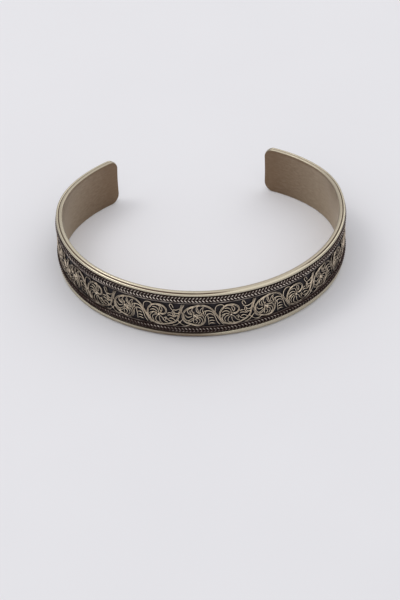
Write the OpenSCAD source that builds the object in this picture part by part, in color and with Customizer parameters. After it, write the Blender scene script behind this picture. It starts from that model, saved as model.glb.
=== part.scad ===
/* [Wrist curve] */
// Inner radius of the front stretch, at half height
front_r = 32.2; // [30:0.1:35]
// Inner radius of each side
side_r = 28.1; // [26:0.1:30]
// Inner radius of each back shoulder
shoulder_r = 19; // [17:0.1:23]
// Inner radius of each back arm
arm_r = 28.5; // [23:0.1:33]
// Turning angle where the front meets the side
front_turn = 45; // [40:1:50]
// Turning angle where the side meets the shoulder
side_turn = 96; // [85:1:105]
// Turning angle where the shoulder meets the back arm
shoulder_turn = 126; // [115:1:132]
// Turning angle where the corners of the end begin
arm_turn = 149; // [140:1:155]

/* [Band] */
// Height of the cuff from edge to edge
cuff_h = 11.8; // [10:0.1:14]
// Thickness of the backing sheet
sheet_t = 0.8; // [0.6:0.05:1.2]
// Radius of the outward dome across the inner face
dome_r = 39; // [30:1:60]
// Chamfer along the edges of the sheet
edge_chamfer = 0.2; // [0.1:0.05:0.25]
// Diameter of the rim wire soldered along every edge
rim_d = 0.6; // [0.56:0.01:0.6]
// Distance from the inner face at half height out to the middle of the rim wire
rim_out = 0.68; // [0.65:0.01:0.68]
// How far the rim wire lies inside the edge of the sheet
rim_inset = 0.14; // [0.08:0.01:0.16]
// Diameter of the wire where it turns the corners at each end
corner_d = 0.64; // [0.64:0.02:0.7]
// Corner radius of the end wire
corner_r = 1.8; // [1.2:0.1:2.6]

/* [Borders] */
// Diameter of each twisted wire
rope_d = 0.66; // [0.6:0.01:0.67]
// Distance between the two twisted wires of a border
rope_pitch = 0.68; // [0.68:0.01:0.74]
// Distance from the upper edge down to the outer twisted wire of the upper border
rope_in = 1.22; // [1.2:0.01:1.26]
// Distance from the lower edge up to the outer twisted wire of the lower border
low_rope_in = 1.62; // [1.56:0.01:1.64]
// Diameter of the thin plain wire that closes a border
fillet_d = 0.26; // [0.2:0.02:0.3]
// Distance from the upper edge down to the thin plain wire of the upper border
fillet_in = 2.6; // [2.58:0.01:2.64]
// Distance from the lower edge up to the thin plain wire of the lower border
low_fillet_in = 2.8; // [2.79:0.01:2.82]
// Thickness of the solder that joins the wires of a border
solder_t = 0.16; // [0.12:0.01:0.2]

/* [Scrollwork] */
// Length of one repeat of the scroll along the outer face
repeat_l = 15.5; // [15.2:0.1:15.6]
// Where one repeat begins, measured from the middle of the front
first_repeat = -7.7; // [-8.2:0.1:-7.2]
// Number of repeats towards the left of that one
repeats_left = 4; // [1:1:4]
// Number of repeats towards the right, with that one counted
repeats_right = 5; // [1:1:5]
// How far the whole scroll lies above the heights that its chart gives
chart_lift = 0.12; // [0.08:0.01:0.13]
// Width of the stems
stem_w = 0.4; // [0.3:0.02:0.5]
// Height of the stems above the sheet
stem_h = 0.4; // [0.3:0.02:0.42]
// Width of the fine curls
curl_w = 0.34; // [0.2:0.02:0.4]
// Height of the fine curls above the sheet
curl_h = 0.34; // [0.25:0.01:0.4]
// Radius of the boss at the eye of a scroll
eye_r = 0.42; // [0.3:0.02:0.6]

/* [Hidden] */
$fn = 120;
wire_sides = 24;
// Space between the sheet and the ornament laid on it
seat_gap = 0.03;
// Length that lets a cut run clear of a face
over = 1;
mid_h = cuff_h / 2;

// Arcs of one half of the cuff, from the middle of the front to the end
RADIUS = 0;
TURN = 1;
arcs = [
    [front_r, front_turn],
    [side_r, side_turn],
    [shoulder_r, shoulder_turn],
    [arm_r, arm_turn]
];
last = len(arcs) - 1;
function turn_from(i) = i == 0 ? 0 : arcs[i - 1][TURN];
function outward(turn) = [sin(turn), -cos(turn)];
// Centre of an arc when the inner face of the front passes through the origin
function free_centre(i) = i == 0
    ? [0, arcs[0][RADIUS]]
    : free_centre(i - 1) + (arcs[i - 1][RADIUS] - arcs[i][RADIUS]) * outward(turn_from(i));

// Section: distances outward from the inner face at half height, at height v
outer_dome_r = dome_r + sheet_t;
function face(v) = sqrt(pow(outer_dome_r, 2) - pow(v - mid_h, 2)) - dome_r;
inner_edge = sqrt(pow(dome_r, 2) - pow(mid_h, 2)) - dome_r;
outer_edge = face(0);
// Keeps a section the same to the last digit on every arc, so that the arcs join
function neat(x) = round(x * 100) / 100;
rim_line = rim_out + rim_d / 2;
rim_v = rim_inset + rim_d / 2;

// The end wire is an arc that leaves each corner without a kink
end_arc_r = outer_dome_r;
corner_rise = mid_h - rim_v;
corner_tilt = asin(corner_rise / norm([end_arc_r, corner_r])) - atan(corner_r / end_arc_r);
corner_u = rim_out + corner_r * sin(corner_tilt);
corner_v = cuff_h - rim_v - corner_r * cos(corner_tilt);
end_centre_u = corner_u - end_arc_r * cos(corner_tilt);
end_out = end_centre_u + end_arc_r;
// Length of sheet past the start of the corners, and its corner radius
tail = corner_r + rim_v;
tail_turn = tail / arm_r * 180 / PI;
corner_kink = 0.02;
// Lap of a corner over the rim wire, and of the end wire into a corner, as angles of their arcs
corner_lap = 4;
end_lap = 0.2;
// How far the borders run past the start of the corners
border_past = 0.4;

// The origin lies under the middle of the whole cuff
front_reach = seat_gap + max(face(mid_h) + stem_h, face(low_rope_in + rope_pitch) + rope_d);
tip = free_centre(last) + (arm_r + end_out) * outward(arm_turn)
    + corner_r * [cos(arm_turn), sin(arm_turn)] + [0, rim_d / 2];
front_y = -(tip[1] - front_reach) / 2;
function centre(i) = free_centre(i) + [0, front_y];

// Point at arc length s along the outer line of the rim, at height v, lifted off the sheet
function line_r(i) = arcs[i][RADIUS] + rim_line;
function arc_length(i) = line_r(i) * (arcs[i][TURN] - turn_from(i)) * PI / 180;
function length_from(i) = i == 0 ? 0 : length_from(i - 1) + arc_length(i - 1);
starts = [for (i = [0 : last]) length_from(i)];
function arc_at(s, i = 0) = i == last || s < starts[i + 1] ? i : arc_at(s, i + 1);
function turn_at(s, i) = turn_from(i) + (s - starts[i]) / line_r(i) * 180 / PI;
function half_point(s, v, lift, i) =
    let (p = centre(i) + (arcs[i][RADIUS] + face(v) + lift) * outward(turn_at(s, i)))
    [p[0], p[1], v];
function on_face(s, v, lift) =
    let (p = half_point(abs(s), v, lift, arc_at(abs(s))))
    [(s < 0 ? -1 : 1) * p[0], p[1], p[2]];

module upside_down() {
    translate([0, 0, cuff_h]) mirror([0, 0, 1]) children();
}

module both_sides() {
    children();
    mirror([1, 0, 0]) children();
}

// Moves in a coarse and two fine steps, so that neighbouring arcs meet to the last digit
module exactly_at(p) {
    coarse = [for (x = p) round(x)];
    fine = [for (x = p - coarse) round(x * 1000) / 1000];
    translate(coarse)
        translate(fine)
            translate(p - coarse - fine)
                children();
}

// Turns a section through part of an arc. $r is the inner radius there
module lay_arc(i, from, to) {
    $r = arcs[i][RADIUS];
    exactly_at(centre(i))
        rotate_extrude(angle = to - from, start = from - 90)
            children();
}

// Lays a section along the whole cuff, with some more turn at each end
module along_cuff(more_turn) {
    lay_arc(0, -front_turn, front_turn) children();
    both_sides()
        for (i = [1 : last])
            lay_arc(i, turn_from(i), arcs[i][TURN] + (i == last ? more_turn : 0)) children();
}

// Frame of a rounded end: X outward, Y along the cuff, from the centre of the last arc
module at_end() {
    translate(centre(last))
        rotate([0, 0, arm_turn - 90])
            children();
}

// Part of a dome that keeps a distance outside the inner face, between two heights
module dome_slice(from_t, to_t, from_v, to_v) {
    intersection() {
        translate([$r - dome_r, mid_h]) difference() {
            circle(r = dome_r + to_t);
            circle(r = dome_r + from_t);
        }
        translate([$r - 2 * over, from_v]) square([4 * over, to_v - from_v]);
    }
}

// Domed sheet with its edges chamfered on both faces
module sheet_section() {
    inner = neat(inner_edge) + edge_chamfer;
    outer = neat(outer_edge) - edge_chamfer;
    intersection() {
        dome_slice(0, sheet_t, -over, cuff_h + over);
        translate([$r, 0]) polygon([
            [inner, 0], [outer, 0], [outer + over, over], [outer + over, cuff_h - over],
            [outer, cuff_h], [inner, cuff_h], [inner - over, cuff_h - over], [inner - over, over]
        ]);
    }
}

module rim_section() {
    for (v = [rim_v, cuff_h - rim_v])
        translate([$r + rim_out, v]) circle(d = rim_d, $fn = wire_sides);
}

module band_section() {
    sheet_section();
    rim_section();
}

// What the rounded corner takes off the sheet, at the top of an end
module corner_cut() {
    depth = 4 * over;
    translate([arm_r - depth / 2, 0, cuff_h + corner_kink - tail])
        difference() {
            cube([depth, tail + over, tail + over]);
            translate([-over, 0, 0]) rotate([0, 90, 0])
                cylinder(r = tail, h = depth + 2 * over);
        }
}

// One corner of the end wire, let a little way over the rim wire. It also covers the end wire's tip
module corner_wire() {
    translate([arm_r + corner_u, 0, corner_v])
        rotate([0, -90 - corner_tilt, 0])
            rotate_extrude(angle = 90 + corner_lap, start = -corner_lap)
                translate([corner_r, 0]) circle(d = corner_d, $fn = wire_sides);
}

module end_wire() {
    corner_wire();
    upside_down() corner_wire();
    translate([arm_r + end_centre_u, corner_r, mid_h])
        rotate([90, 0, 0])
            rotate_extrude(angle = 2 * (corner_tilt + end_lap), start = -corner_tilt - end_lap)
                translate([end_arc_r, 0]) circle(d = rim_d, $fn = wire_sides);
}

module band() {
    color("darkkhaki") {
        along_cuff(0) band_section();
        both_sides() {
            difference() {
                lay_arc(last, arm_turn, arm_turn + tail_turn) sheet_section();
                at_end() {
                    corner_cut();
                    upside_down() corner_cut();
                }
            }
            at_end() end_wire();
        }
    }
}

// Two twisted wires and a thin plain wire, soldered side by side, above the lower edge
module border_section(first, fillet) {
    for (v = [first, first + rope_pitch])
        translate([$r + neat(face(v) + seat_gap + rope_d / 2), v]) circle(d = rope_d, $fn = wire_sides);
    translate([$r + neat(face(fillet) + seat_gap + fillet_d / 2), fillet])
        circle(d = fillet_d, $fn = wire_sides);
    dome_slice(sheet_t + seat_gap, sheet_t + seat_gap + solder_t, first, fillet);
}

module border(first, fillet) {
    along_cuff(border_past / arm_r * 180 / PI) border_section(first, fillet);
}

module lower_border() {
    color("tan") border(low_rope_in, low_fillet_in);
}

module upper_border() {
    color("tan") upside_down() border(rope_in, fillet_in);
}

// One repeat of the scroll, measured along the cuff and up it, starts at a meeting of two stems.
// Stems and swags are spirals about a point, and angles are counted from the cuff's direction
PLACE = 0;
HEIGHT = 1;
R_START = 2;
R_END = 3;
ANGLE = 4;
SWEEP = 5;
stems = [
    // Ring of the first scroll, and its outer line
    [3.2, 5.8, 2.9, 2.05, 85, 280],
    [4.8, 6.2, 4.4, 4, 145, 40],
    // Arch over it, the leg that falls from the arch, and a second line of the leg
    [4.15, 5.25, 3.5, 3.5, 105, -78],
    [-10.5, -2.2, 20, 20, 27, -11],
    [13.75, 7, 6.5, 6.5, 180, 36],
    // Hook between the scrolls
    [8.45, 7.7, 0.75, 0.9, -15, 220],
    // Ring of the second scroll
    [10.95, 6.2, 2.75, 1.6, 215, -285],
    // Garland under it, and the stem that rises from the garland
    [11.3, 7, 3.75, 4.25, 215, 135],
    [20, 6.5, 4.5, 4.5, 190, -38],
    // Tie to the next repeat
    [15.55, 5.35, 1.4, 1.4, 205, 130]
];
// Swags between the bud and the rising stem
swags = [
    [14.5, 8.5, 1.3, 1.3, 245, 85],
    [14.8, 7.2, 0.85, 0.85, 210, 110]
];
// Pinwheels: the eye, the reach and number of the curls, the first angle, and the way they turn
REACH = 2;
CURLS = 3;
FIRST = 4;
SENSE = 5;
pinwheels = [
    [3.3, 5.75, 2.5, 5, 40, 1],
    [10.85, 5.9, 2.4, 5, 25, -1]
];
// Part of its circle that each curl covers, counted from the eye
curl_from = 18;
curl_to = 140;
// Bud that leans between the second scroll and the rising stem
bud_top = [13.4, 8.35];
bud_foot = [14.05, 6.6];
bud_r = 0.32;
eye_rim_h = 0.11;
// Most that a relief wire turns, and most that it runs on, between two of its rings
stem_step = 40;
fine_step = 45;
longest_chord = 1.8;

// Points of a spiral. Its chords stay short, so that none dips below the curved sheet
function spiral_l(row) = abs(row[SWEEP]) * PI / 180 * (row[R_START] + row[R_END]) / 2;
function spiral(row, step) =
    let (n = max(2, round(abs(row[SWEEP]) / step), ceil(spiral_l(row) / longest_chord)))
    [for (k = [0 : n])
        let (a = row[ANGLE] + row[SWEEP] * k / n)
        let (r = row[R_START] + (row[R_END] - row[R_START]) * k / n)
        [row[PLACE] + r * cos(a), row[HEIGHT] + chart_lift + r * sin(a)]];

function unit(v) = v / norm(v);
function side_of(path, k) =
    let (d = unit(path[min(k + 1, len(path) - 1)] - path[max(k - 1, 0)]))
    [-d[1], d[0]];

// Ridged relief wire, bent over the face of the sheet
module relief_wire(path, width, height, start) {
    foot = width / 2;
    rings = [for (k = [0 : len(path) - 1])
        let (q = foot * side_of(path, k))
        let (c = path[k] + [start, 0])
        [
            on_face(c[0] - q[0], c[1] - q[1], seat_gap),
            on_face(c[0] + q[0], c[1] + q[1], seat_gap),
            on_face(c[0], c[1], seat_gap + height)
        ]];
    sides = len(rings[0]);
    end = sides * (len(rings) - 1);
    faces = [
        [0, 1, 2], [end + 2, end + 1, end],
        for (k = [0 : len(rings) - 2], j = [0 : sides - 1])
            let (a = sides * k + j, b = sides * k + (j + 1) % sides)
            each [[a, b + sides, b], [a, a + sides, b + sides]]
    ];
    polyhedron([for (r = rings) each r], faces);
}

// Stands something on the face of the sheet, with its Z pointing outward
module stand_at(s, v) {
    turn = sign(s) * turn_at(abs(s), arc_at(abs(s)));
    translate(on_face(s, v, seat_gap)) rotate([0, 90, turn - 90]) children();
}

// Small boss where the curls of a pinwheel meet
module eye(place, height, start) {
    stand_at(start + place, height + chart_lift) hull() {
        cylinder(r = eye_r, h = eye_rim_h, $fn = 5);
        cylinder(r = eye_r / 2, h = stem_h, $fn = 5);
    }
}

module bud(start) {
    hull() {
        stand_at(start + bud_top[0], bud_top[1] + chart_lift) cylinder(r = bud_r, h = curl_h, $fn = 6);
        stand_at(start + bud_foot[0], bud_foot[1] + chart_lift) cylinder(r = bud_r / 2, h = curl_h, $fn = 4);
    }
}

module pinwheel(row, start) {
    r = row[REACH] / 2;
    for (k = [0 : row[CURLS] - 1]) {
        a = row[FIRST] + 360 * k / row[CURLS];
        curl = [
            row[PLACE] + r * cos(a), row[HEIGHT] + r * sin(a), r, r,
            a + 180 + row[SENSE] * curl_from, row[SENSE] * (curl_to - curl_from)
        ];
        relief_wire(spiral(curl, fine_step), curl_w, curl_h, start);
    }
    eye(row[PLACE], row[HEIGHT], start);
}

module scroll_repeat(start) {
    for (row = stems) relief_wire(spiral(row, stem_step), stem_w, stem_h, start);
    for (row = swags) relief_wire(spiral(row, fine_step), curl_w, curl_h, start);
    for (row = pinwheels) pinwheel(row, start);
    bud(start);
}

module scrollwork() {
    color("wheat")
        for (k = [-repeats_left : repeats_right - 1])
            scroll_repeat(first_repeat + k * repeat_l);
}

band();
upper_border();
lower_border();
scrollwork();
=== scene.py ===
# %% [markdown]
# # An antiqued cuff bracelet
#
# A cuff like this starts as a strip of brass sheet. Wires are soldered along its edges, twisted
# wires are laid beside them, and a scroll of fine flattened wire fills the space between. Then the
# whole is blackened and polished, so that the metal stays dark in the hollows and turns bright
# wherever the cloth reaches. We build the pieces in the order in which the maker does.
#
# The imported solids come first. They fix the size and the place of everything that follows, so
# we read their box.

# %% Load the frame
from math import atan, asin, ceil, cos, pi, radians, sin, sqrt
import bpy
import numpy as np
from mathutils import Matrix, Vector


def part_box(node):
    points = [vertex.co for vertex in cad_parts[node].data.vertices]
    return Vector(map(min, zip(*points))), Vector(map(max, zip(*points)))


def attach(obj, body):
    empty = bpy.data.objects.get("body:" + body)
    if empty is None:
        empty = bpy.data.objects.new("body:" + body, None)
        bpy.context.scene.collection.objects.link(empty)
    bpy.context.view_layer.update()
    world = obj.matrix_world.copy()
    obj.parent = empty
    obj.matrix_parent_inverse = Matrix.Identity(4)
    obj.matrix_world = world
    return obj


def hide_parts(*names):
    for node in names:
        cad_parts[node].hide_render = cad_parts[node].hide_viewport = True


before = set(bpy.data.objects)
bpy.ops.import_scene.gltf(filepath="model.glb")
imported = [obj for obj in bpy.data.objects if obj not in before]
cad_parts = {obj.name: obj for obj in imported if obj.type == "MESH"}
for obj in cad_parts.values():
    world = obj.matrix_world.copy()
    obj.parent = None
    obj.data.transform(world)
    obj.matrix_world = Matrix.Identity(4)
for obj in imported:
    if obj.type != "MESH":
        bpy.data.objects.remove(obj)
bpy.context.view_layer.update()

MM = 0.001


# %% [markdown]
# ## The curve of the cuff
#
# The band is bent round a wrist, so nothing on it is straight. It is far easier to draw the
# ornament on a flat strip, as a maker does before bending, and to bend every point afterwards. Here
# a point of the flat strip has three numbers: the run along the band from the middle of the front,
# the height above the lower edge, and the distance out from the inner face. The function below
# bends such points onto the cuff. One half of the curve is four arcs that run into each other
# without a kink, and the other half is its mirror image.

# %% Bend the flat strip
# Inner radius of each arc, and how far the cuff has turned at the arc's end: the front, the side,
# the shoulder and the back
arcs = [(32.2 * MM, radians(45)), (28.1 * MM, radians(96)),
        (19.0 * MM, radians(126)), (28.5 * MM, radians(149))]
cuff_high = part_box("band")[1].z
middle = cuff_high / 2
rim_wire = 0.6 * MM
rim_out = 0.7 * MM
rim_line = rim_out + rim_wire / 2    # the run is measured on this line


def outward(turn):
    """Direction away from the middle of the cuff after a turn, seen from above."""
    return np.array([sin(turn), -cos(turn)])


radii = np.array([radius for radius, _ in arcs])
turn_ends = np.array([turn for _, turn in arcs])
turn_starts = np.concatenate([[0], turn_ends[:-1]])
centres = [np.array([0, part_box("band")[0].y + radii[0] + rim_line])]
for k in range(1, len(arcs)):
    centres.append(centres[-1] + (radii[k - 1] - radii[k]) * outward(turn_starts[k]))
centres = np.array(centres)
arc_runs = (radii + rim_line) * (turn_ends - turn_starts)
run_starts = np.concatenate([[0], np.cumsum(arc_runs)[:-1]])
half_run = arc_runs.sum()


def bend(strip):
    """Flat points (run, height, out) become points of the cuff."""
    run, high, out = np.moveaxis(np.asarray(strip, float), -1, 0)
    k = np.searchsorted(run_starts, np.abs(run), side="right") - 1
    turn = turn_starts[k] + (np.abs(run) - run_starts[k]) / (radii[k] + rim_line)
    radius = radii[k] + out
    x = centres[k, 0] + radius * np.sin(turn)
    return np.stack([np.sign(run) * x, centres[k, 1] - radius * np.cos(turn), high], -1)


print("half of the band runs", round(half_run / MM, 2), "mm")
print("arc centres in mm:", (centres / MM).round(2).tolist())

# %% [markdown]
# ## The dome
#
# Across its height the sheet is domed a little, as if it were cut from a large barrel. Both faces
# are arcs about the same centre line, so two small functions give how far out each face lies at a
# height. Everything that is soldered on asks them where to lie.

# %% The two faces of the sheet
sheet_thick = 0.8 * MM
dome = 39 * MM


def inner_face(high):
    return np.sqrt(dome**2 - (np.asarray(high) - middle) ** 2) - dome


def outer_face(high):
    return np.sqrt((dome + sheet_thick) ** 2 - (np.asarray(high) - middle) ** 2) - dome


print("the dome stands out by", round(float(outer_face(middle) - outer_face(0)) / MM, 3), "mm")

# %% [markdown]
# ## A tool for wires
#
# Nearly everything on this cuff is wire. In Blender a wire can be a curve with a bevel, but a curve
# can't carry the wear on its crest as data. So the tool below sweeps a section along a path of flat
# points, ring by ring. Each point also gets a number called wear_and_light, from 0 in a hollow that
# stays black to 1 on a crest that the cloth has polished. On some pieces it also carries painted
# light and shade. The finishes read it.

# %% Sweep a section along a path
def tube_faces(count, sides, closed=False):
    """Faces between rings of points, with both ends closed unless the last ring meets the first."""
    ring = np.arange(count if closed else count - 1)[:, None] * sides
    side = np.arange(sides)
    next_ring = (ring + sides) % (count * sides)
    next_side = (side + 1) % sides
    faces = np.stack([ring + side, ring + next_side, next_ring + next_side, next_ring + side], -1)
    faces = [tuple(f) for f in faces.reshape(-1, 4).tolist()]
    if not closed:
        faces += [tuple(range(sides))[::-1], tuple(range((count - 1) * sides, count * sides))]
    return faces


def sweep(path, section, wear_and_light, closed=False):
    """Rings of a section (across, up) along a path, as flat points, faces and wear."""
    path = np.asarray(path, float)
    ahead = np.roll(path, -1, 0) - np.roll(path, 1, 0) if closed else np.gradient(path, axis=0)
    across = np.cross([0, 0, 1], ahead)
    up = np.cross(ahead, across)
    across /= np.linalg.norm(across, axis=1)[:, None]
    up /= np.linalg.norm(up, axis=1)[:, None]
    section = np.broadcast_to(section, (len(path), *np.shape(section)[-2:]))
    rings = path[:, None] + section[..., :1] * across[:, None] + section[..., 1:] * up[:, None]
    count, sides = rings.shape[:2]
    wear_and_light = np.broadcast_to(wear_and_light, (count, sides)).ravel()
    return rings.reshape(-1, 3), tube_faces(count, sides, closed), wear_and_light


def round_section(radius, sides):
    angle = np.arange(sides) * 2 * pi / sides
    return radius * np.stack([np.cos(angle), np.sin(angle)], -1)


print("a short wire of two rings with six sides has", len(tube_faces(2, 6)), "faces")

# %% [markdown]
# ## A tool for pieces
#
# A piece of the cuff is made of many wires that are soldered together. They could be many objects,
# but one mesh is lighter and moves as one. The tool joins the swept parts, bends them onto the cuff
# and stores two things for the finishes to read: the wear with its painted light and shade, and
# each point's place on the flat strip. Then it hangs the piece on the root body, so that it rides
# on the cuff, gives it its materials, and hides the solid it stands for.

# %% Join swept parts into a piece
def make_piece(name, parts, materials, stands_for, paint=None):
    """Joins swept parts into one piece that is bent onto the cuff and rides on it."""
    flat = np.concatenate([p[0] for p in parts])
    wear_and_light = np.concatenate([p[2] for p in parts])
    faces, start = [], 0
    for points, part_faces, _ in parts:
        faces += [tuple(i + start for i in f) for f in part_faces]
        start += len(points)
    mesh = bpy.data.meshes.new(name)
    mesh.from_pydata(bend(flat).tolist(), [], faces)
    mesh.shade_smooth()
    mesh.attributes.new("wear_and_light", "FLOAT", "POINT").data.foreach_set("value", wear_and_light.astype(np.float32))
    strip = mesh.attributes.new("strip", "FLOAT_VECTOR", "POINT")
    strip.data.foreach_set("vector", (flat / MM).astype(np.float32).ravel())
    for material in materials:
        mesh.materials.append(material)
    if paint is not None:
        mesh.polygons.foreach_set("material_index", [paint(flat[list(f)].mean(0)) for f in faces])
    piece = bpy.data.objects.new(name, mesh)
    bpy.context.scene.collection.objects.link(piece)
    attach(piece, "root")
    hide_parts(stands_for)
    triangles = sum(len(f) - 2 for f in faces)
    print(name, len(flat), "points,", triangles, "triangles")


# %% [markdown]
# ## Finishes
#
# There is one metal here, a pale brass, in several states: polished on the rims, satin inside,
# worn on the wires, and blackened on the ground. Each is a Principled shader whose colour runs
# between tarnish and bare metal. What moves it along is the wear_and_light number of the mesh,
# which holds the wear and, on some pieces, painted light and shade. Some noise unsettles it,
# because no polishing is even. The noise reads the flat strip's coordinates, so fine scratches can
# follow the band round its bends.

# %% A helper that mixes tarnish and bare metal
scratch_depth = 0.02 * MM


def add_node(tree, kind, inputs=None, **settings):
    """A new node in a tree, with its settings and the values of its inputs."""
    node = tree.nodes.new(kind)
    for name, value in settings.items():
        setattr(node, name, value)
    for name, value in (inputs or {}).items():
        node.inputs[name].default_value = value
    return node


def finish(name, tarnish, bare, rough_tarnish, rough_bare, edge, cloud, grain, bump, metal=1.0):
    """A metal that runs from tarnish to bare with the wear_and_light number and a cloudy noise.

    edge: the wear at which the bare metal begins to show, and at which it is clean
    cloud: how far the noise moves that wear up or down
    grain: how fine the noise is along the band, across it and outwards
    """
    material = bpy.data.materials.new(name)
    material.use_nodes = True
    tree = material.node_tree
    link = tree.links.new
    shader = tree.nodes["Principled BSDF"]
    shader.inputs["Metallic"].default_value = metal
    wear_and_light = add_node(tree, "ShaderNodeAttribute", attribute_name="wear_and_light")
    strip = add_node(tree, "ShaderNodeAttribute", attribute_name="strip")
    stretch = add_node(tree, "ShaderNodeVectorMath", {1: grain}, operation="MULTIPLY")
    link(strip.outputs["Vector"], stretch.inputs[0])
    clouds = add_node(tree, "ShaderNodeTexNoise", {"Scale": 1.0, "Detail": 4.0, "Roughness": 0.6})
    link(stretch.outputs["Vector"], clouds.inputs["Vector"])
    sway = add_node(tree, "ShaderNodeMapRange", {"To Min": -cloud, "To Max": cloud})
    link(clouds.outputs["Fac"], sway.inputs["Value"])
    total = add_node(tree, "ShaderNodeMath", operation="ADD")
    link(wear_and_light.outputs["Fac"], total.inputs[0])
    link(sway.outputs["Result"], total.inputs[1])
    reach = add_node(tree, "ShaderNodeMapRange", {"From Min": edge[0], "From Max": edge[1]},
                     interpolation_type="SMOOTHSTEP")
    link(total.outputs["Value"], reach.inputs["Value"])
    colour = add_node(tree, "ShaderNodeMix", {"A": (*tarnish, 1), "B": (*bare, 1)},
                      data_type="RGBA")
    link(reach.outputs["Result"], colour.inputs["Factor"])
    link(colour.outputs["Result"], shader.inputs["Base Color"])
    rough = add_node(tree, "ShaderNodeMapRange", {"To Min": rough_tarnish, "To Max": rough_bare})
    link(reach.outputs["Result"], rough.inputs["Value"])
    link(rough.outputs["Result"], shader.inputs["Roughness"])
    relief = add_node(tree, "ShaderNodeBump", {"Strength": bump, "Distance": scratch_depth})
    link(clouds.outputs["Fac"], relief.inputs["Height"])
    link(relief.outputs["Normal"], shader.inputs["Normal"])
    return material


# %% [markdown]
# Each state of the brass is one call with its own numbers: the colours of tarnish and bare metal,
# how rough both are, and how the noise lies. Rims and groove are rubbed along the band, so their
# noise is long that way. The ground was blackened in a bath and isn't quite metallic any more. The
# wires run from nearly black to very bright, because only their crests meet the cloth.

# %% The states of the brass
polished = finish("polished_brass", (0.15, 0.095, 0.065), (0.6, 0.535, 0.412), 0.5, 0.24,
                  edge=(0.1, 0.7), cloud=0.12, grain=(0.8, 9, 9), bump=0.1)
satin = finish("satin_inside", (0.2, 0.135, 0.086), (0.5, 0.41, 0.3), 0.42, 0.34,
               edge=(0.0, 1.0), cloud=0.2, grain=(0.9, 2.2, 2.2), bump=0.04)
ground = finish("blackened_ground", (0.010, 0.008, 0.011), (0.034, 0.025, 0.026), 0.62, 0.5,
                edge=(0.3, 1.0), cloud=0.4, grain=(2.5, 2.5, 2.5), bump=0.5, metal=0.5)
groove = finish("tarnished_groove", (0.2, 0.125, 0.1), (0.62, 0.5, 0.41), 0.6, 0.45,
                edge=(0.2, 0.8), cloud=0.4, grain=(0.6, 6, 6), bump=0.2)
worn_wire = finish("worn_filigree", (0.04, 0.023, 0.023), (0.99, 0.84, 0.65), 0.5, 0.24,
                   edge=(0.35, 1.0), cloud=0.55, grain=(1.3, 1.3, 1.3), bump=0.2)
worn_rope = finish("worn_twist", (0.045, 0.025, 0.021), (0.95, 0.84, 0.74), 0.5, 0.24,
                   edge=(0.35, 1.05), cloud=0.35, grain=(0.5, 2, 2), bump=0.1)
print("finishes:", [m.name for m in bpy.data.materials if m.use_nodes])

# %% [markdown]
# ## The section of the backing sheet
#
# The sheet is one strip with softly rounded edges and rounded corners at its ends. We could bevel a
# flat strip, but then we wouldn't know which point lies on which face. So we write its section down
# as a ring of points: up the inner face, over the upper edge in two small quarter circles, down the
# outer face and round the lower edge. The outer face has points of its own where its finishes meet.

# %% Draw the section of the sheet
edge_round = 0.26 * MM
rim_high = 0.46 * MM
brown_high = 1.0 * MM
face_steps = 14
edge_steps = 6


def sheet_ring(low, high):
    """Section of the sheet between two heights, as points of (height, out)."""
    inner_run = np.linspace(low + edge_round, high - edge_round, face_steps)
    outer_run = np.concatenate([[low + edge_round, low + rim_high],
                                np.linspace(low + brown_high, high - brown_high, face_steps - 4),
                                [high - rim_high, high - edge_round]])[::-1]
    inner = np.stack([inner_run, inner_face(inner_run)], -1)
    outer = np.stack([outer_run, outer_face(outer_run)], -1)
    quarter = np.linspace(0, pi / 2, edge_steps + 1)[1:]
    bow = edge_round * np.stack([np.sin(quarter), 1 - np.cos(quarter)], -1)
    return np.concatenate([inner, inner[-1] + bow, (outer[0] + bow * (1, -1))[::-1],
                           outer, outer[-1] - bow, (inner[0] + bow * (-1, 1))[::-1]])


print("a ring of the sheet has", len(sheet_ring(0, cuff_high)), "points")

# %% [markdown]
# At both ends the sheet runs a little past the straight part of its rims, and its corners are
# rounded. Cutting the corners off a finished strip would leave ragged faces, so the rings
# themselves grow shorter there, along the circle of the corner.

# %% Run the section along the strip
end_corner = 1.8 * MM
end_lip = 0.44 * MM
tail = end_corner + end_lip
sheet_rings = 420
corner_steps = 12
past = np.sin(np.linspace(0, pi / 2, corner_steps + 1))[1:] * tail
runs = np.concatenate([-half_run - past[::-1], np.linspace(-half_run, half_run, sheet_rings),
                       half_run + past])
rings = []
for run in runs:
    beyond = max(0, abs(run) - half_run)
    trim = tail - sqrt(max(0, tail**2 - beyond**2))
    ring = sheet_ring(trim, cuff_high - trim)
    rings.append(np.column_stack([np.full(len(ring), run), ring]))
rings = np.array(rings)
print("the flat sheet is", round((runs[-1] - runs[0]) / MM, 1), "mm long, in", len(runs), "rings")

# %% [markdown]
# ## Polish and painted light along the band
#
# Brightness is never even along the band. On this cuff the upper edge carries a painted highlight
# on the left, the groove beside the upper rim is dark left of the middle and nearly clean
# elsewhere, with painted light round the sides and a painted highlight on the front right, and the
# foot of the band is dullest left of the middle and brightest on the right. We could paint this
# into a picture, but smooth humps and ramps along the run say the same in a few numbers, and every
# piece can use them.

# %% Humps and ramps along the run
def hump(run, at, wide):
    """A smooth hump of height one, around a run given in millimetres."""
    return np.exp(-(((run / MM - at) / wide) ** 2))


def ramp(run, start, over):
    """A straight rise from 0 to 1, from a start and over a distance given in millimetres."""
    return np.clip((run / MM - start) / over, 0, 1)


def groove_polish_and_highlight(run):
    """How clean the groove beside the upper rim is, with painted light round the sides and a
    painted highlight on the front right.
    """
    # The sides are painted lighter, and the clean spot on the front right is a painted highlight.
    sides = 0.9 * ramp(np.abs(run), start=22, over=10)
    dark_spot, highlight_spot = hump(run, at=-10, wide=13), hump(run, at=12, wide=8)
    return np.clip(1 + sides - 1.1 * dark_spot + 0.4 * highlight_spot, 0, 2)


def foot_brightness(run):
    """How bright the foot of the band is."""
    return 0.54 + 0.72 * ramp(run, start=-4, over=14) + 0.4 * ramp(-run, start=10, over=20)


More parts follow.
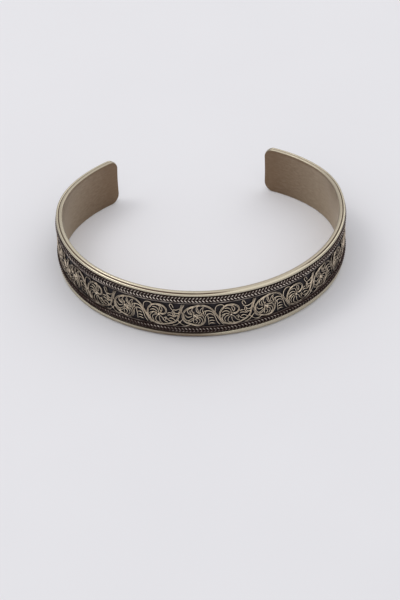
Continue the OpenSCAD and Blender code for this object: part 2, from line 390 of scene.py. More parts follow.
for at in (-30, -10, 12):
    print("at", at, "mm the groove has", round(float(groove_polish_and_highlight(at * MM)), 2), "and the foot",
          round(float(foot_brightness(at * MM)), 2))

# %% [markdown]
# ## The backing sheet
#
# Four finishes share the sheet: satin inside, black outside between the rims, a reddish tarnish in
# the groove beyond each rim wire, and polished on the edges. Along the lower rim the tarnish
# reaches a little way onto the black. Four meshes would show seams, so it is one mesh with four
# material slots, and each face picks its slot by where it lies.
#
# The inside carries painted shade: it is lighter at the front and the sides, darker towards the
# ends, and darker again right under the upper edge.

# %% Lay the backing sheet
SATIN, BLACK, BRIGHT, RED = range(4)
on_face = 0.02 * MM
end_shade_reach = 26 * MM
end_shade, edge_wear, brow_shade = 0.12, 0.5, 0.4
left_highlight = 0.45
groove_least, groove_share, foot_share = 0.25, 0.35, 0.7


def sheet_finish(point):
    """The slot of a face of the sheet, from where its middle lies."""
    _, high, out = point
    if out < inner_face(high) + on_face:
        return SATIN
    beyond_rim = high < brown_high or high > cuff_high - rim_high
    if out > outer_face(high) - on_face:
        return RED if beyond_rim else BLACK
    return BRIGHT


# Painted shade inside: lighter away from the ends, darker towards them.
away_from_end = np.clip((half_run - np.abs(runs)) / end_shade_reach, 0, 1)
outer_first = face_steps + 2 * edge_steps
outer_end = outer_first + face_steps
sheet_wear_and_light = np.full(rings.shape[:2], edge_wear)
sheet_wear_and_light[:, :face_steps] = end_shade + (1 - end_shade) * away_from_end[:, None]
# Painted shade in the row right under the upper edge.
sheet_wear_and_light[:, face_steps - 1] *= brow_shade
# A painted highlight along the upper edge, left of the middle.
sheet_wear_and_light[:, face_steps:outer_first] += left_highlight * hump(runs, at=-27, wide=15)[:, None]
# The groove rows take this polish, with its painted light and painted highlight.
groove_wear_and_highlight = groove_least + groove_share * groove_polish_and_highlight(runs)
sheet_wear_and_light[:, outer_first:outer_first + 2] = groove_wear_and_highlight[:, None]
sheet_wear_and_light[:, outer_end - 3:outer_end] = foot_share * foot_brightness(runs)[:, None]
sheet_part = (rings.reshape(-1, 3), tube_faces(*rings.shape[:2]), sheet_wear_and_light.ravel())
make_piece("backing_sheet", [sheet_part], [satin, ground, polished, groove], "band",
           sheet_finish)

# %% [markdown]
# ## The path of the rim wire
#
# One round wire runs along the upper edge, round the corners of an end, back along the lower edge
# and round the other end. It is soldered to the outer face, a hair inside the edge of the sheet, so
# that a thin dark groove shows between the two. Its corners have to lean with the domed sheet,
# which is hard to hit with the handles of a curve. So we work out one corner and one end as points,
# and mirror them into a closed loop.

# %% Draw the path of the rim wire
quarter_steps = 10
end_steps = 14
end_dome = dome + sheet_thick
corner_rise = middle - rim_high
corner_tilt = asin(corner_rise / sqrt(end_dome**2 + end_corner**2)) - atan(end_corner / end_dome)
end_out = rim_out + end_corner * sin(corner_tilt) + end_dome * (1 - cos(corner_tilt))


def corner_path(angle):
    """Upper right corner, from the rim at angle 0 to the end wire at a right angle."""
    drop = end_corner * (1 - np.cos(angle))
    return np.stack([half_run + end_corner * np.sin(angle),
                     cuff_high - rim_high - drop * cos(corner_tilt),
                     rim_out + drop * sin(corner_tilt)], -1)


def mirrored(path, across_run=False, across_height=False):
    """The same path on the other arm, or along the other edge."""
    path = path.copy()
    if across_run:
        path[:, 0] *= -1
    if across_height:
        path[:, 1] = cuff_high - path[:, 1]
    return path


corner = corner_path(np.linspace(0, pi / 2, quarter_steps))
end_high = np.linspace(corner[-1, 1], cuff_high - corner[-1, 1], end_steps)[1:-1]
end_bow = end_out - (end_dome - np.sqrt(end_dome**2 - (end_high - middle) ** 2))
end_path = np.stack([np.full(len(end_high), corner[-1, 0]), end_high, end_bow], -1)
rim_runs = np.linspace(-half_run, half_run, sheet_rings)[1:-1]
upper_rim = np.stack([rim_runs, np.full(len(rim_runs), cuff_high - rim_high),
                      np.full(len(rim_runs), rim_out)], -1)
right_end = np.concatenate([corner, end_path, mirrored(corner, across_height=True)[::-1]])
loop = np.concatenate([upper_rim, right_end, mirrored(upper_rim, across_height=True)[::-1],
                       mirrored(right_end, across_run=True)[::-1]])
on_upper = loop[:, 1] > middle
print("the loop of the rim wire has", len(loop), "points")

# %% [markdown]
# ## Solder beside the rim wire
#
# The wire isn't the same all round. Solder has run up beside its lower run, so that it looks
# broader than the upper one, most of all on the right. On the front right solder has also filled
# the groove beside the upper run, and wire and edge carry one broad painted highlight there.
# Separate solder pieces would leave lines where they meet the wire, so we change the wire's own
# section instead.
# Each of its points has two numbers: flank, how far it lies on the groove's side, and face, how far
# it looks out.

# %% Shape the section of the rim wire
corner_wire = 0.64 * MM
rim_sides = 20
spread_fade = 3 * MM
flank, face = round_section(1, rim_sides).T
# Where solder moves three points on the groove's side, in radii of the wire
groove_fill = {-1: (1.17, -0.5), -2: (1.33, -1.13), -3: (1.2, -1.33)}


def solder_spread(run):
    """How much farther the lower run reaches up the sheet, in radii of the wire."""
    to_end = np.clip((half_run - np.abs(run)) / spread_fade, 0, 1)
    return (0.6 + 0.9 * ramp(run, start=-2, over=8)) * to_end


near_edge = np.abs(loop[:, 1] - middle) > corner_rise - end_corner
in_corner = (np.abs(loop[:, 0]) > half_run) & near_edge
thick = np.where(in_corner, corner_wire, rim_wire) / 2
rim_section = thick[:, None, None] * round_section(1, rim_sides)
spread = 1 + solder_spread(loop[:, 0]) * ~on_upper
rim_section[:, flank < 0, 0] *= spread[:, None]
flooded = on_upper * np.clip(1.6 * hump(loop[:, 0], at=12, wide=9), 0, 1)
for side, place in groove_fill.items():
    move = np.array(place) * rim_wire / 2 - rim_section[:, side]
    rim_section[:, side] += flooded[:, None] * move
print("the lower run is broadened by up to", round((spread.max() - 1) * rim_wire / 2 / MM, 2), "mm")

# %% [markdown]
# ## Polish and painted light on the rim wire
#
# The upper run is polished and carries painted light: it is lighter where it faces out, with
# painted shade towards the black ground and deep in the groove. The lower run is duller all round,
# partly because it lies on tables and is hard to reach with a cloth and partly as painted shade,
# with its upper flank painted lighter. A mask painted by hand would have to be painted again after
# every change of shape. The two numbers of the section give the same for free.

# %% Polish the rim wire, paint its light and shade, and sweep it round the cuff
facing_light_gain = 1.5
upper_start, lower_start = -0.1, 1.4
# Painted light on the groove's side of the upper run, as strong as the groove is clean.
groove_side_light = 0.8 * np.clip(flank, 0, 1) * groove_polish_and_highlight(loop[:, :1])
# Painted shade on the flank towards the black ground.
ground_side_shade = 0.6 * np.clip(-flank - 0.4, 0, 1)
# The upper run is lighter where it faces out: polish and painted light.
upper_polish_and_light = np.clip(facing_light_gain * face + upper_start + groove_side_light - ground_side_shade, 0, 1)
# Painted highlight on the groove's side where solder fills the groove.
upper_polish_and_light = np.maximum(upper_polish_and_light, flooded[:, None] * (flank > 0.5))
foot = foot_brightness(loop[:, :1])
# The lower run: painted shade all round, lighter where it faces out and on its upper flank.
lower_facing_light = 0.56 * np.clip(facing_light_gain * face + lower_start, 0, 1)
lower_flank_light = (0.8 * foot - 0.4) * np.clip(-flank, 0, 1)
lower_polish_and_shade = np.clip(foot * (lower_facing_light + lower_flank_light), 0, 1)
rim_polish_and_light = np.where(on_upper[:, None], upper_polish_and_light, lower_polish_and_shade)
make_piece("rim_wire", [sweep(loop, rim_section, rim_polish_and_light, closed=True)], [polished],
           "band")

# %% [markdown]
# ## Twisted wires
#
# Beside each rim lie two twisted wires. Each is a pair of thin wires wound round each other, and
# the two are twisted opposite ways, so that together they look like a braid. A picture of a braid
# would look flat from the side, so we wind real strands. A strand is a helix about the middle of
# its wire, and two helices half a turn apart make the twist. Only the outside of a strand is rubbed
# bright, so the wear depends on how far a point lies from the middle of the twist, and the crest
# that faces out carries a painted highlight.

# %% Twist a wire
twist_wide = 0.64 * MM
strand = twist_wide / 4
winding = 0.96 * strand    # the strands press into each other a little
twist_turn = 1.5 * MM
rings_per_turn = 12
strand_sides = 8
border_past = 0.4 * MM
seat = 0.03 * MM
fade_start, fade_end = 12 * MM, 32 * MM
twist_loss = 0.2
outside_from, outside_over = 0.72, 0.25
side_light, crest_light = 0.1, 1.3


def side_fade(run, loss):
    """Share of the brightness left at a run: all of it at the front, less round the sides."""
    return 1 - loss * np.clip((np.abs(run) - fade_start) / (fade_end - fade_start), 0, 1)


def twisted_wire(height, hand, rubbed):
    """Two strands wound round a middle line, right or left handed, and rubbed bright by a share."""
    end = half_run + border_past
    runs = np.linspace(-end, end, int(2 * end / twist_turn * rings_per_turn))
    middle_out = outer_face(height) + seat + twist_wide / 2
    strands = []
    for start in (0, pi):
        angle = hand * 2 * pi * runs / twist_turn + start
        path = np.stack([runs, height + winding * np.cos(angle),
                         middle_out + winding * np.sin(angle)], -1)
        points, faces, _ = sweep(path, round_section(strand, strand_sides), 0)
        away = np.hypot(points[:, 1] - height, points[:, 2] - middle_out) / (twist_wide / 2)
        upward = (points[:, 2] - middle_out) / (twist_wide / 2)
        outside = np.clip((away - outside_from) / outside_over, 0, 1)
        # Painted highlight on the side of the strand that faces out.
        crest_highlight = np.clip(side_light + crest_light * upward, 0, 1)
        wear_and_light = rubbed * outside * crest_highlight * side_fade(points[:, 0], twist_loss)
        strands.append((points, faces, wear_and_light))
    return strands


print("a twist turns", round(2 * half_run / twist_turn), "times along the band")

# %% [markdown]
# ## The borders
#
# A thin plain wire closes each border towards the scroll. It hardly stands up, and it has kept a
# reddish tarnish. A straight sweep of the wire tool is all it takes.
#
# The two borders aren't quite alike, so each gets its own heights and its own polish and painted
# shade instead of being a mirror image. The lower one stands a little farther from its rim, and it
# is darker, partly from less polishing and partly as painted shade, so its outer wire is nearly
# lost in the dark.

# %% Lay both borders
plain_wire = 0.25 * MM
plain_sides = 8
twist_hands = (-1, 1)
# Heights of the two twists and of the plain wire, and how brightly each of the three is rubbed,
# which in the lower border is partly painted shade
lower_rows = (1.74 * MM, 2.42 * MM, 2.88 * MM), (0.6, 0.72, 0.56)
upper_rows = ((cuff_high - 1.14 * MM, cuff_high - 1.82 * MM, cuff_high - 2.57 * MM),
              (0.86, 1.0, 0.64))


def thin_wire(height, rubbed):
    """A plain wire along the whole band, rubbed from its foot to its crest."""
    end = half_run + border_past
    runs = np.linspace(-end, end, sheet_rings)
    out = outer_face(height) + seat + plain_wire / 2
    path = np.stack([runs, np.full(len(runs), height), np.full(len(runs), out)], -1)
    section = round_section(plain_wire / 2, plain_sides)
    wear_and_light = np.clip(rubbed * (0.5 + 0.5 * section[:, 1] / (plain_wire / 2)), 0, 1)
    return sweep(path, section, wear_and_light)


def border(name, rows, node):
    """Two twists of opposite hands and a plain wire, as one piece."""
    heights, rubbed = rows
    twists = [wire for row in zip(heights, twist_hands, rubbed) for wire in twisted_wire(*row)]
    make_piece(name, [*twists, thin_wire(heights[2], rubbed[2])], [worn_rope], node)


border("lower_twists", lower_rows, "lower_border")
border("upper_twists", upper_rows, "upper_border")

# %% [markdown]
# ## The chart of the scroll
#
# The scroll is filigree: fine wire with a milled edge, rolled flat and stood on that edge, so that
# we look down on thin bright lines. One repeat is drawn as a chart on the flat strip, the way a
# maker pins wire over a drawing. Each line of the chart is a row of places that the wire passes
# through, in millimetres from the start of the repeat and from the cuff's lower edge. Drawing the
# lines in the viewport would do as well, but places in a list can be read, shared and corrected. We
# begin with the stems, which carry everything else. The main ones are two wires side by side.

# %% Chart the stems
repeat = 15.5 * MM
first_repeat = -7.7 * MM
paired_stems = [
    # Ring of the first scroll
    [(2.9, 8.4), (2.2, 8.1), (1.5, 7.65), (0.97, 7.05), (0.65, 6.4), (0.52, 5.8), (0.57, 5.15),
     (0.82, 4.5), (1.3, 4.0), (1.95, 3.7), (2.65, 3.45), (3.4, 3.25), (4.1, 3.25), (4.65, 3.5),
     (5.05, 4), (5.25, 4.6), (5.25, 5.2)],
    # Arch over it, and the leg that falls from the arch
    [(2, 7.85), (2.9, 8.3), (3.6, 8.53), (4.3, 8.62), (5, 8.57), (5.7, 8.35), (6.3, 7.97),
     (6.8, 7.45), (7.2, 6.85), (7.6, 6.15), (8, 5.45), (8.35, 4.75), (8.65, 4.1), (9, 3.5),
     (9.3, 3.15)],
    # Ring of the second scroll
    [(8.45, 5.4), (8.42, 6.2), (8.67, 7), (9.1, 7.65), (9.7, 8.1), (10.5, 8.3), (11.3, 8.2),
     (11.95, 7.9), (12.4, 7.4), (12.55, 6.8), (12.35, 6.25), (11.9, 5.9), (11.4, 5.9), (11.1, 6.2)],
    # Garland under it, and the stem that rises from the garland
    [(8.35, 5.6), (8.6, 4.9), (8.9, 4.2), (9.4, 3.6), (10.1, 3.2), (10.9, 3.05), (11.8, 3.05),
     (12.7, 3.25), (13.5, 3.55), (14.2, 3.95), (14.75, 4.5), (15.1, 5.2), (15.27, 6), (15.42, 6.8),
     (15.65, 7.7), (15.95, 8.7)],
]
single_stems = [
    # Second line of the rising stem
    [(15.7, 6.3), (15.8, 7), (15.95, 7.7), (16.15, 8.2), (16.4, 8.7)],
    # Inner line of the arch and its leg
    [(5.3, 7.15), (5.9, 7.2), (6.5, 7.05), (6.95, 6.65), (7.2, 6.1), (7.4, 5.5), (7.6, 4.9),
     (7.75, 4.3), (8.05, 3.7), (8.4, 3.2)],
    # Hook between the scrolls
    [(7.45, 6.7), (7.45, 7.3), (7.55, 7.9), (7.9, 8.35), (8.45, 8.55), (9, 8.45), (9.28, 8.05),
     (9.2, 7.5), (8.85, 7.1)],
    # Bud, a loop on two legs
    [(13.95, 7.1), (13.6, 7.55), (13.35, 8), (13.25, 8.42), (13.45, 8.7), (13.75, 8.55),
     (13.95, 8.15), (14.1, 7.7)],
    [(13.95, 7.1), (13.8, 6.6), (13.85, 6.2), (14.1, 5.7), (14.4, 5.3)],
    [(14.15, 6.9), (14.15, 6.4), (14.35, 5.9), (14.6, 5.4)],
    # Crossing between two repeats
    [(13.8, 3), (14.4, 3.1), (14.95, 3.45), (15.35, 3.95), (15.7, 4.4), (15.95, 4.75)],
    [(14.75, 4.6), (15.05, 4.35), (15.35, 3.95), (15.75, 3.5), (16.3, 3.15), (16.95, 3.1),
     (17.5, 3.4), (17.85, 3.75)],
]
print("stems in a repeat:", len(paired_stems), "of two wires,", len(single_stems), "of one")

# %% [markdown]
# ## The curls
#
# Curls are short pieces of the same wire that spring from the stems and fill the rings: leaves over
# the eye of the first scroll, a ladder beside the leg of the arch, a pinwheel in the second scroll,
# and swags that hang from the bud to the rising stem. One spiral turned and scaled could stand for
# all of them, but the maker bent each one by eye, so each has its own line in the chart.

# %% Chart the curls
curls = [
    # Leaves over the eye of the first scroll
    [(2, 7.85), (1.7, 7.45), (1.62, 6.95), (1.8, 6.5), (2.2, 6.3), (2.6, 6.1)],
    [(2.85, 8.1), (2.6, 7.7), (2.5, 7.25), (2.7, 6.85), (2.95, 6.6)],
    [(3.8, 8.35), (3.5, 7.95), (3.42, 7.45), (3.6, 6.95), (3.95, 6.55), (4.3, 6.3)],
    [(3.75, 7.9), (3.8, 7.4), (3.95, 6.95), (4.2, 6.6)],
    [(5.1, 8.1), (4.65, 7.85), (4.3, 7.4), (4.25, 7), (4.45, 6.6), (4.8, 6.35)],
    [(4.9, 7.8), (4.8, 7.3), (4.85, 6.9), (5, 6.6)],
    [(5.6, 7.2), (5.15, 7.05), (4.98, 6.65), (5.05, 6.25), (5.2, 5.9)],
    [(5.55, 7.15), (5.4, 6.8), (5.4, 6.4), (5.5, 6.1)],
    # Short leaves between those and the eye
    [(4.3, 6.3), (4.65, 6), (4.9, 5.6), (5, 5.1)],
    [(3.3, 6.3), (3.7, 6.1), (4.1, 6), (4.55, 5.75)],
    [(3.05, 5.3), (3.3, 5.8), (3.75, 5.9)],
    [(2.2, 7.3), (2.1, 6.9), (2.25, 6.6), (2.6, 6.4)],
    # Spine through the eye, and loops to the left of it
    [(3, 6.9), (2.9, 6.3), (2.85, 5.6), (2.85, 4.9), (2.8, 4.3), (2.95, 3.8)],
    [(0.9, 6.2), (0.8, 5.6), (0.95, 5.1), (1.25, 4.65), (1.7, 4.5), (2.1, 4.7), (2.4, 5),
     (2.75, 5.2)],
    [(1.1, 6.1), (1.3, 5.7), (1.65, 5.45), (2.1, 5.55), (2.5, 5.75)],
    [(1.6, 4.15), (2.1, 4.2), (2.5, 4.5), (2.75, 4.9)],
    # Spiral at the lower right
    [(3.2, 5.6), (3.7, 5.6), (4.2, 5.4), (4.6, 5), (4.75, 4.5), (4.65, 4), (4.35, 3.6)],
    [(3.3, 5.25), (3.8, 5.15), (4.1, 4.85), (4.2, 4.4), (4.05, 3.95), (3.75, 3.65)],
    [(3.1, 4.9), (3.45, 4.75), (3.6, 4.4), (3.5, 4.05), (3.2, 3.8)],
    # Ladder beside the leg
    [(5.25, 5.2), (5.5, 5.8), (5.85, 6.25), (6.35, 6.35), (6.8, 6.15), (7.05, 5.8)],
    [(5.85, 6.2), (5.9, 5.5), (6, 4.8), (6.05, 4.1), (6.1, 3.2)],
    [(6.1, 5.2), (6.6, 5.35), (7.1, 5.15)],
    [(6.2, 4.4), (6.7, 4.55), (7.3, 4.35)],
    [(6.25, 3.7), (6.8, 3.8), (7.4, 3.6)],
    # Pinwheel of the second scroll, clockwise from the top
    [(9.5, 8), (10.2, 8.1), (10.9, 7.95), (11.35, 7.65), (11.62, 7.2), (11.6, 6.75), (11.42, 6.4)],
    [(11, 7.65), (11.05, 7.2), (11.2, 6.75), (11.42, 6.4)],
    [(11.1, 5.3), (11.5, 5), (11.75, 4.6), (11.95, 4.15), (12.3, 3.85), (12.8, 3.7)],
    [(11.7, 3.3), (11.3, 3.55), (11.08, 4), (11, 4.5), (10.95, 5.1)],
    [(11, 3.4), (10.55, 3.45), (10.25, 3.8), (10.15, 4.3), (10.3, 4.8), (10.65, 5.2)],
    [(9.75, 3.75), (9.5, 4.25), (9.45, 4.7), (9.65, 5.15), (10.05, 5.45), (10.5, 5.55)],
    [(9.2, 3.9), (8.97, 4.5), (8.97, 5), (9.2, 5.5), (9.6, 5.8)],
    [(8.8, 5.5), (9.1, 5.8), (9.6, 6), (10.1, 6), (10.5, 5.8)],
    [(8.95, 6.35), (9.25, 6.65), (9.8, 6.75), (10.3, 6.5), (10.6, 6.1)],
    [(9.45, 7.4), (10, 7.45), (10.45, 7.25), (10.75, 6.85), (10.85, 6.3), (10.85, 5.8)],
    # Feathers between the second scroll and the garland
    [(11.9, 4.95), (12.3, 4.85), (12.45, 4.5), (12.25, 4.15)],
    [(12.35, 5.3), (12.6, 4.8), (12.95, 4.35), (13.35, 4.1), (13.8, 4.1)],
    [(13, 4.7), (13.4, 4.95), (13.85, 4.85), (14.2, 4.55), (14.5, 4.15)],
    [(12.75, 5.6), (13.2, 5.75), (13.7, 5.6), (14.2, 5.3)],
    [(12.7, 6.1), (13.1, 6.35), (13.6, 6.3)],
    # Swags between the bud and the rising stem
    [(14, 7.25), (14.5, 7.2), (15, 7.35), (15.45, 7.7)],
    [(14.15, 6.8), (14.4, 6.4), (14.8, 6.25), (15.2, 6.4), (15.5, 6.75)],
    [(14.4, 5.6), (14.8, 5.7), (15.2, 5.6)],
]
print("curls in a repeat:", len(curls))

# %% [markdown]
# ## A smooth line through the chart
#
# A wire bends smoothly, so the places of the chart are joined by a curve that passes through each
# of them without a kink. A curve object could do that too, but the milled edge of the wire needs a
# point at every notch. With a few lines of spline of our own we say how far apart the points are.

# %% Join the places of a line
mill = 0.12 * MM


def smooth_line(places):
    """A smooth line through the places of a chart line, with a point at every notch."""
    places = np.array(places, float) * MM
    guide = np.concatenate([[2 * places[0] - places[1]], places, [2 * places[-1] - places[-2]]])
    line = []
    for a, b, c, d in zip(guide, guide[1:], guide[2:], guide[3:]):
        count = max(2, ceil(np.linalg.norm(c - b) / mill))
        t = np.arange(count)[:, None] / count
        curve = 2 * a - 5 * b + 4 * c - d + t * (3 * b - a - 3 * c + d)
        line.append(b + t / 2 * (c - a + t * curve))
    return np.concatenate([*line, places[-1:]])


print("the ring of the first scroll has", len(smooth_line(paired_stems[0])), "points")

# %% [markdown]
# ## One wire of the filigree
#
# The milled edge is a row of tiny notches. Cutting them out would take many faces, so we let the
# wire's width go in and out from point to point. Each wire keeps to the face of the sheet, at its
# own height on the dome, and its ends taper where they are soldered to a stem. The whole chart is
# laid a little higher than its numbers say, which centres it between the two borders.
#
# The dome lets the cloth reach the middle of the band best, so the crests there are rubbed the
# brightest, and those beside the borders stay duller. Round the sides the wires are darker as well.

# %% Stand a wire on the sheet
# Half of the section of a wire one wide and one high, and how worn its points are
left_side = [(-0.5, 0), (-0.5, 0.7), (-0.3, 1)]
side_worn = [0.0, 0.7, 1.0]
wire_shape = np.array(left_side + [(-x, y) for x, y in left_side[::-1]])
shape_worn = np.array(side_worn + side_worn[::-1])
notch_wide, notch_drop = 0.75, 0.14
tip_wide, tip_growth = 0.5, 0.2
chart_lift = 0.18 * MM
cloth_middle, cloth_reach = 6.3 * MM, 3 * MM
cloth_best, cloth_least, cloth_fall = 1.14, 0.74, 0.36
scroll_loss = 0.34


def stroke(places, start, wide, tall, aside=0.0):
    """One filigree wire along a line of the chart, moved aside across its own line."""
    line = smooth_line(places)
    ahead = np.gradient(line, axis=0)
    ahead /= np.linalg.norm(ahead, axis=1)[:, None]
    line = line + aside * np.column_stack([-ahead[:, 1], ahead[:, 0]])
    high = line[:, 1] + chart_lift
    path = np.column_stack([start + line[:, 0], high, outer_face(high) + seat])
    order = np.arange(len(line))
    notch = np.where(order % 2, 1.0, notch_wide)
    taper = np.minimum(1, tip_wide + tip_growth * np.minimum(order, order[::-1]))
    across = wire_shape[:, 0] * (wide * notch * taper)[:, None]
    up = wire_shape[:, 1] * (tall * (1 - notch_drop + notch_drop * notch))[:, None]
    rubbed = cloth_best - cloth_fall * ((high - cloth_middle) / cloth_reach) ** 2
    rubbed = np.clip(rubbed, cloth_least, cloth_best) * side_fade(path[:, 0], scroll_loss)
    return sweep(path, np.stack([across, up], -1), rubbed[:, None] * shape_worn)


print("a wire of the filigree has", len(wire_shape), "points in its section")

# %% [markdown]
# ## Lay the filigree
#
# The real stems are two wires side by side, which catch the light as a double line. One broad wire
# with a groove would give the same shape, but two thin ones cross and end as the real ones do. The
# single stems are a little broader, and the curls lie lower, because they tuck in under the stems.

# %% Lay the filigree
# Width and height of each flattened wire, and how far the wires of a pair lie from their line
pair_wire = (0.1 * MM, 0.32 * MM)
stem_wire = (0.135 * MM, 0.3 * MM)
curl_wire = (0.125 * MM, 0.27 * MM)
pair_aside = 0.11 * MM
repeats_to_end = 4
starts = [first_repeat + k * repeat for k in range(-repeats_to_end, repeats_to_end + 1)]
stem_parts, curl_parts = [], []
for start in starts:
    for places in paired_stems:
        stem_parts += [stroke(places, start, *pair_wire, side * pair_aside) for side in (-1, 1)]
    stem_parts += [stroke(places, start, *stem_wire) for places in single_stems]
    curl_parts += [stroke(places, start, *curl_wire) for places in curls]
make_piece("scroll_stems", stem_parts, [worn_wire], "scrollwork")
make_piece("scroll_curls", curl_parts, [worn_wire], "scrollwork")

# %% [markdown]
# ## Granules
#
# Small grains of metal cover the places where the wires come together: the eye of each scroll and
# the crossing between two repeats. A grain is half melted into its seat, so half of a flattened
# ball does. A ball from the menu would hide its lower half in the sheet for nothing.

# %% Set the grains
# Place along the repeat, height and radius in millimetres
grain_places = [(3.1, 5.95, 0.28), (3.6, 5.4, 0.18), (10.85, 5.6, 0.34), (15.4, 3.95, 0.22),
                (14, 7.1, 0.14)]
grain_sides = 10
grain_rings = 5
grain_flat = 0.9
grain_lift = 0.08 * MM
grain_foot_wear = 0.1


def grain(place, height, radius):
    """Half of a flattened ball, as flat points, faces and wear."""
    tilts = np.linspace(0, pi / 2, grain_rings, endpoint=False)
    turns = np.arange(grain_sides) * 2 * pi / grain_sides
    points = [(place + radius * cos(tilt) * cos(turn), height + radius * cos(tilt) * sin(turn),
               grain_flat * radius * sin(tilt)) for tilt in tilts for turn in turns]
    points = np.array([*points, (place, height, grain_flat * radius)])
    points[:, 2] += outer_face(points[:, 1]) + seat + grain_lift
    faces = []
    for k in range(grain_rings - 1):
        for j in range(grain_sides):
            a, b = k * grain_sides + j, k * grain_sides + (j + 1) % grain_sides
            faces.append((a, b, b + grain_sides, a + grain_sides))
    top = (grain_rings - 1) * grain_sides
    faces += [(top + j, top + (j + 1) % grain_sides, top + grain_sides) for j in range(grain_sides)]
    wear_and_light = np.repeat(np.linspace(grain_foot_wear, 1, grain_rings), grain_sides)
    return points, faces, np.append(wear_and_light, 1.0)


grains = [grain(start + place * MM, height * MM + chart_lift, radius * MM)
          for start in starts for place, height, radius in grain_places]
make_piece("scroll_grains", grains, [worn_wire], "scrollwork")

# %% [markdown]
# ## The table top
#
# The cuff lies on a pale matt surface. A real white table is never one flat tone, and a picture of
# paper would repeat, so a faint noise runs between two near tones. The table is wide enough that no
# view sees its edge up close.

# %% Lay the table top
table_half = 1.5
paper_dark, paper_light = (0.755, 0.745, 0.765, 1), (0.78, 0.77, 0.79, 1)
paper_grain = 30
table_mesh = bpy.data.meshes.new("table_top")
corner_signs = ((-1, -1), (1, -1), (1, 1), (-1, 1))
table_corners = [(x * table_half, y * table_half, 0) for x, y in corner_signs]
table_mesh.from_pydata(table_corners, [], [(0, 1, 2, 3)])
table_top = bpy.data.objects.new("table_top", table_mesh)
bpy.context.scene.collection.objects.link(table_top)
paper = bpy.data.materials.new("pale_matt")
paper.use_nodes = True
paper_tree = paper.node_tree
paper_shader = paper_tree.nodes["Principled BSDF"]
paper_shader.inputs["Roughness"].default_value = 0.7
paper_shader.inputs["Specular IOR Level"].default_value = 0.2
paper_spot = add_node(paper_tree, "ShaderNodeTexCoord")
paper_noise = add_node(paper_tree, "ShaderNodeTexNoise", {"Scale": paper_grain})
paper_mix = add_node(paper_tree, "ShaderNodeMix", {"A": paper_dark, "B": paper_light},
                     data_type="RGBA")
paper_tree.links.new(paper_spot.outputs["Object"], paper_noise.inputs["Vector"])
paper_tree.links.new(paper_noise.outputs["Fac"], paper_mix.inputs["Factor"])
paper_tree.links.new(paper_mix.outputs["Result"], paper_shader.inputs["Base Color"])
table_mesh.materials.append(paper)
print("table top", 2 * table_half, "m wide")

# %% [markdown]
# ## The room
#
# Metal shows what is around it, so the room matters more than the lamps. A picture of a studio
# would bring reflections of things that aren't there, so the room is only a tone that changes with
# the direction. A pale ceiling that fades towards the horizon lights the tops of the wires and
# leaves their flanks dark, which brings out the relief. It also gives the inside of the cuff its
# brown depth, because that face looks at the dim lower part of the room.

# %% Tone the room
horizon, ceiling = 0.25, 1.08
front_of_room, back_of_room = 1.1, 1.0
room_tint = (0.97, 0.98, 1.0, 1)
world = bpy.data.worlds.new("soft_room")
bpy.context.scene.world = world
world.use_nodes = True
room = world.node_tree
sky = room.nodes["Background"]
sky.inputs["Color"].default_value = room_tint
heading = add_node(room, "ShaderNodeTexCoord")
split = add_node(room, "ShaderNodeSeparateXYZ")
climb = add_node(room, "ShaderNodeMapRange",
                 {"From Min": 0.0, "From Max": 0.85, "To Min": horizon, "To Max": ceiling})
depth = add_node(room, "ShaderNodeMapRange",
                 {"From Min": -1.0, "From Max": 0.6,
                  "To Min": front_of_room, "To Max": back_of_room})
product = add_node(room, "ShaderNodeMath", operation="MULTIPLY")
room.links.new(heading.outputs["Generated"], split.inputs["Vector"])
room.links.new(split.outputs["Z"], climb.inputs["Value"])
room.links.new(split.outputs["Y"], depth.inputs["Value"])
room.links.new(climb.outputs["Result"], product.inputs[0])
room.links.new(depth.outputs["Result"], product.inputs[1])
room.links.new(product.outputs["Value"], sky.inputs["Strength"])
print("the room runs from", horizon, "at the horizon to", ceiling, "overhead")

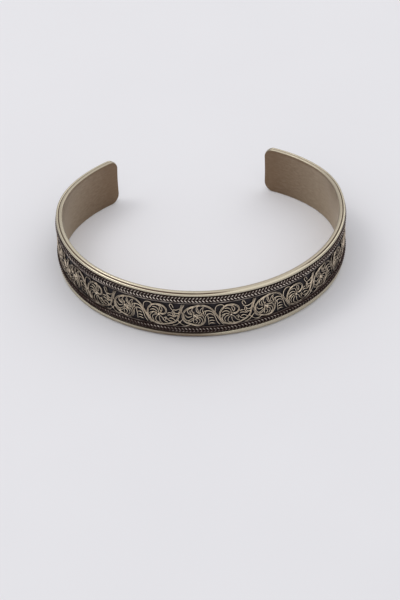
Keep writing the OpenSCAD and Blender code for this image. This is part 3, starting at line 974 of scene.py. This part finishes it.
# %% [markdown]
# ## The windows
#
# A large soft window on the upper left and a fainter one behind on the right draw the long
# highlights along the rims. Square area lights do for both: a lamp that is a single point would
# leave hard little sparks on the wires instead.

# %% Hang the windows
def soft_window(name, spot, aim, size, power, tint=(1, 1, 1)):
    """A square area light that looks from its spot to what it is aimed at."""
    light = bpy.data.lights.new(name, "AREA")
    light.shape = "SQUARE"
    light.size = size
    light.energy = power
    light.color = tint
    lamp = bpy.data.objects.new(name, light)
    lamp.location = spot
    lamp.rotation_euler = (Vector(aim) - Vector(spot)).to_track_quat("-Z", "Y").to_euler()
    bpy.context.scene.collection.objects.link(lamp)


cuff_middle = (0, 0, middle)
soft_window("window", (-0.42, 0.16, 0.7), cuff_middle, size=0.3, power=0.85, tint=(1.0, 0.98, 0.96))
soft_window("far_window", (0.45, 0.5, 0.5), cuff_middle, size=0.4, power=0.4)

# %% [markdown]
# ## Camera
#
# The camera looks down on the cuff from the front, with a long lens and a small roll. We could turn
# it by hand until it looks right. These numbers were solved from the lines of the two rims instead,
# so the render lines up with the view. The aim is a point on the lens's axis, given from the front
# of the band.

# %% Place the camera
climb_angle = radians(39.46)
swing = radians(5.08)
roll = radians(-1.62)
reach = 464.3 * MM
focal_in_pixels, long_side = 2068.5, 600
aim = Vector((-1.335 * MM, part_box("band")[0].y + 23.23 * MM, -8.70 * MM))
ahead = Vector((sin(swing) * cos(climb_angle), cos(swing) * cos(climb_angle), -sin(climb_angle)))
right = Vector((cos(swing), -sin(swing), 0))
above = right.cross(ahead)
turned = Matrix((right, above, -ahead)).transposed() @ Matrix.Rotation(roll, 3, "Z")
camera = bpy.data.objects.new("camera", bpy.data.cameras.new("camera"))
camera.data.sensor_width = 36
camera.data.lens = focal_in_pixels * camera.data.sensor_width / long_side
camera.data.clip_start = 0.01
camera.data.clip_end = 20
camera.matrix_world = Matrix.Translation(aim - ahead * reach) @ turned.to_4x4()
bpy.context.scene.collection.objects.link(camera)
bpy.context.scene.camera = camera
bpy.context.scene.view_settings.view_transform = "Standard"
print("camera at", [round(c / MM, 1) for c in camera.location], "mm")
print("lens", round(camera.data.lens, 1), "mm")
